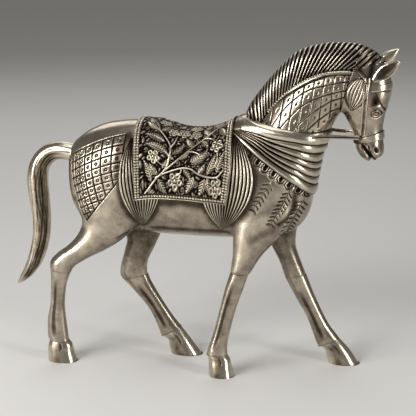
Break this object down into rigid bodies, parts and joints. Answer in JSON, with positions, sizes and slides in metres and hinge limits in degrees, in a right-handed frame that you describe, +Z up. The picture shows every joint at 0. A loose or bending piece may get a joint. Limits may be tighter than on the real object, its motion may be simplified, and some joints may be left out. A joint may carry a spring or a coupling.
{
  "type": "cast aluminium horse statue",
  "caption": "Walking horse ornament cast in antiqued aluminium, with an engraved saddle cloth, fluted girths, breast drape, bridle, arched mane and curved tail.",
  "frame": {"origin": "on the ground under the middle of the horse's box", "axes": "+X towards the head, +Y to the horse's left, +Z up"},
  "size_m": [0.3622, 0.0845, 0.3067],
  "materials": {
    "antique_casting": "hand-finished casting, warm antique silver with dark recesses",
    "polished_casting": "polished casting, warm antique silver",
    "oxidised_relief": "chased relief, oxidised in its ground and polished on its high points",
    "dowel": "plain"
  },
  "bodies": {
    "root": {"body_right": "antique_casting", "body_left": "antique_casting", "neck": "antique_casting", "mane": "oxidised_relief", "head": "antique_casting", "ear_right": "polished_casting", "ear_left": "polished_casting", "fore_cannon_right": "antique_casting", "fore_cannon_left": "antique_casting", "hind_cannon_right": "antique_casting", "hind_cannon_left": "antique_casting", "fore_hoof_right": "polished_casting", "fore_hoof_left": "polished_casting", "hind_hoof_right": "polished_casting", "hind_hoof_left": "polished_casting", "tail": "antique_casting", "saddle_panel_right": "oxidised_relief", "saddle_panel_left": "oxidised_relief", "front_girth_fan_right": "oxidised_relief", "front_girth_fan_left": "oxidised_relief", "rear_girth_fan_right": "oxidised_relief", "rear_girth_fan_left": "oxidised_relief", "breast_drape_right": "antique_casting", "breast_drape_left": "antique_casting", "rein_right": "polished_casting", "rein_left": "polished_casting", "browband": "polished_casting", "noseband": "polished_casting", "cheek_strap_right": "polished_casting", "cheek_strap_left": "polished_casting", "seam_dowels": "dowel"}
  },
  "joints": []
}
